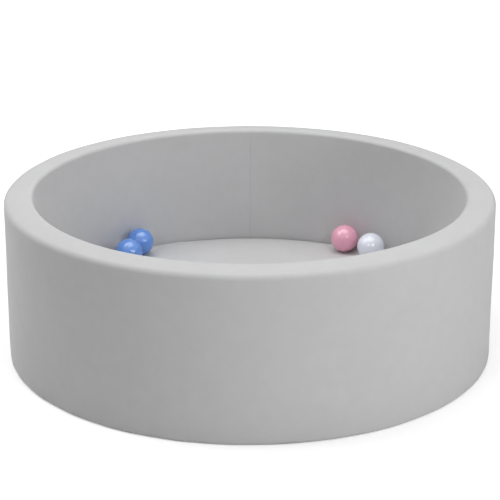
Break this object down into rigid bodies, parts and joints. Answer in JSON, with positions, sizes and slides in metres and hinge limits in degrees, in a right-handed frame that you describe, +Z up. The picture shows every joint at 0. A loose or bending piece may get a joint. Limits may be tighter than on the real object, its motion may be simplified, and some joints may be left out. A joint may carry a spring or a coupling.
{
  "type": "foam ball pit",
  "caption": "Round foam ball pit with a padded ring wall, a soft floor cushion, a zipped grey cloth cover and loose hollow play balls.",
  "frame": {"origin": "centre of the round underside, on the ground plane", "axes": "+Z up along the ring's axis; the zip runs round the back, which is +Y; -Y is the front"},
  "size_m": [0.9, 0.9, 0.305],
  "materials": {
    "cover_cloth": "short-pile light grey velvet, soft sheen",
    "underside_cloth": "plain woven grey backing cloth",
    "foam": "open-cell cream foam",
    "zip_tape": "grey woven zip tape",
    "zip_teeth": "grey moulded coil",
    "zip_metal": "grey painted zinc",
    "blue_plastic": "glossy sky blue",
    "pink_plastic": "glossy soft pink",
    "white_plastic": "glossy pearl white"
  },
  "bodies": {
    "pit": {"wall_foam_left": "foam", "wall_foam_right": "foam", "floor_foam": "foam", "cover_wall_sleeve": "cover_cloth", "cover_floor_panel": "cover_cloth", "cover_underside_panel": "underside_cloth", "zip_tape_upper": "zip_tape", "zip_tape_lower": "zip_tape", "zip_coil_upper": "zip_teeth", "zip_coil_lower": "zip_teeth", "zip_top_stop_upper": "zip_metal", "zip_top_stop_lower": "zip_metal", "zip_bottom_stop": "zip_metal"},
    "zip_slider": {"zip_slider": "zip_metal"},
    "zip_pull": {"zip_pull": "zip_metal"},
    "ball_blue_back": {"ball_blue_back": "blue_plastic"},
    "ball_blue_front": {"ball_blue_front": "blue_plastic"},
    "ball_pink": {"ball_pink": "pink_plastic"},
    "ball_white": {"ball_white": "white_plastic"}
  },
  "joints": [
    {"name": "zip_slider_travel", "type": "hinge", "parent": "pit", "child": "zip_slider", "pos_m": [0, 0, 0.022], "axis": [0, 0, 1], "range_deg": [0, 148.3]},
    {"name": "zip_pull_swing", "type": "hinge", "parent": "zip_slider", "child": "zip_pull", "pos_m": [0.43572, 0.12337, 0.022], "axis": [0, 0, -1], "range_deg": [0, 170]},
    {"name": "ball_blue_back_lift", "type": "slide", "parent": "pit", "child": "ball_blue_back", "axis": [0, 0, 1], "range_m": [0, 0.25]},
    {"name": "ball_blue_front_lift", "type": "slide", "parent": "pit", "child": "ball_blue_front", "axis": [0, 0, 1], "range_m": [0, 0.25]},
    {"name": "ball_pink_lift", "type": "slide", "parent": "pit", "child": "ball_pink", "axis": [0, 0, 1], "range_m": [0, 0.25]},
    {"name": "ball_white_lift", "type": "slide", "parent": "pit", "child": "ball_white", "axis": [0, 0, 1], "range_m": [0, 0.25]}
  ]
}
